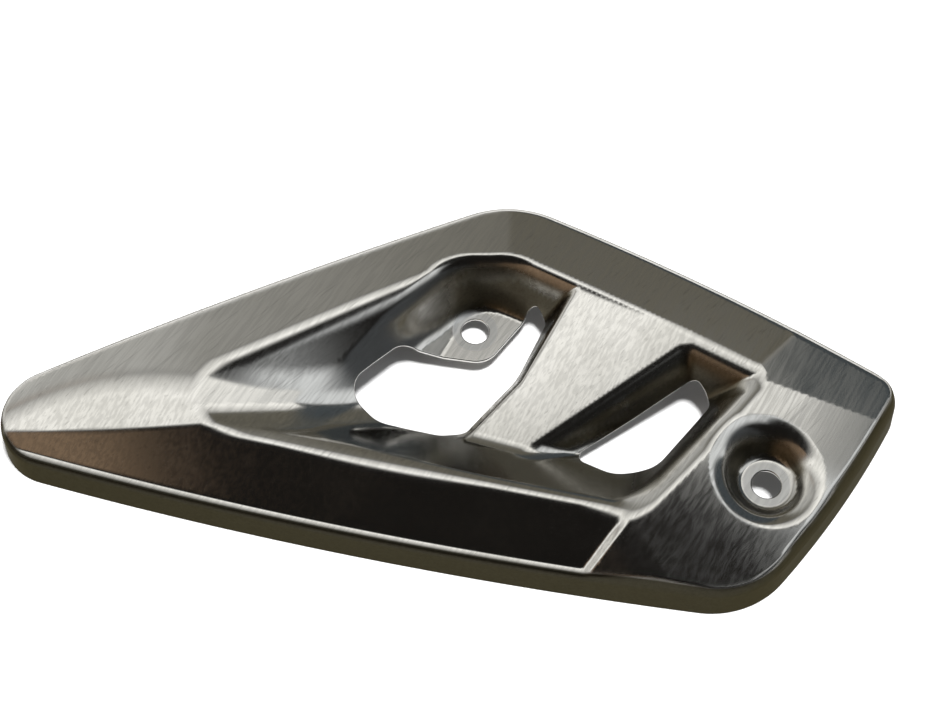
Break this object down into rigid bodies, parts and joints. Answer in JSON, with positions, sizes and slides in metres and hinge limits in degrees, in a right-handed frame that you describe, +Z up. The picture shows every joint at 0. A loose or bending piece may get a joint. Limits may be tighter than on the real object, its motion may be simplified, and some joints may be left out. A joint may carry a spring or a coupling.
{
  "type": "motorcycle heel guard",
  "caption": "Kite-shaped pressed steel heel guard with a flared skirt, raised border, a recess with a sloping bar between openings, a bolt tab and a bolt dimple.",
  "frame": {"origin": "centre of the overall box at the plane of the rim, which is the plane the guard lies on", "axes": "+X along the length from the narrow nose to the wide tail, +Y towards the peak at the back, +Z up through the show face"},
  "size_m": [0.2045, 0.1, 0.0185],
  "materials": {
    "steel": "brushed face, dull skirt"
  },
  "bodies": {
    "root": {"heel_guard": "steel"}
  },
  "joints": []
}
